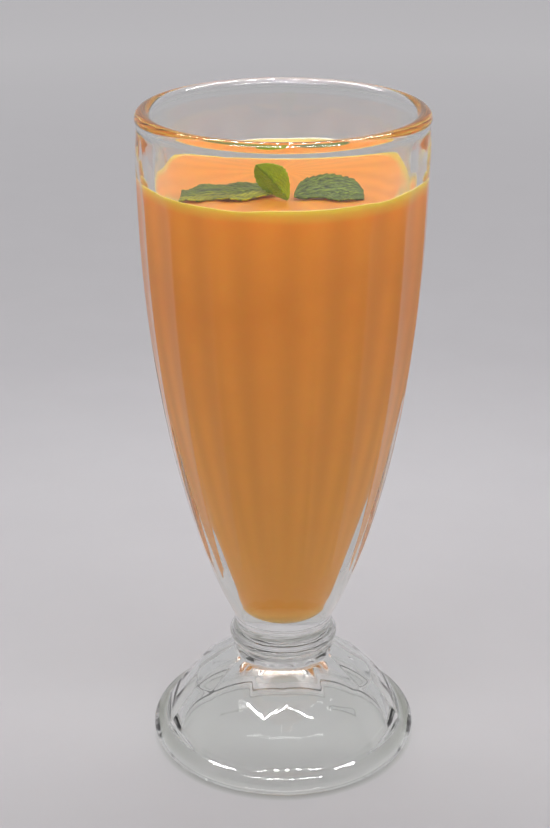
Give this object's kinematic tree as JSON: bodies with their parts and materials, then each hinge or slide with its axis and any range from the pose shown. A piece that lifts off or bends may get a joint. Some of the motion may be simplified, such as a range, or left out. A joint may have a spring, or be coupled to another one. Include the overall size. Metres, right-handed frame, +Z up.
{
  "type": "mango lassi in a footed glass",
  "caption": "Thick orange mango drink in a tall fluted soda-fountain glass with a ring neck and faceted hollow foot, mint leaves lying on top.",
  "frame": {"origin": "middle of the foot's underside, on the surface it stands on", "axes": "+Z up along the glass, -Y towards the side with the mint leaves, +X to the right seen from there"},
  "size_m": [0.0826, 0.0826, 0.2],
  "materials": {
    "clear_glass": "fire-polished clear pressed glass",
    "mango_lassi": null,
    "mint_left": null,
    "mint_middle": null,
    "mint_right": null
  },
  "bodies": {
    "root": {"glass": "clear_glass", "lassi": "mango_lassi", "mint_leaf_left": "mint_left", "mint_leaf_middle": "mint_middle", "mint_leaf_right": "mint_right"}
  },
  "joints": []
}
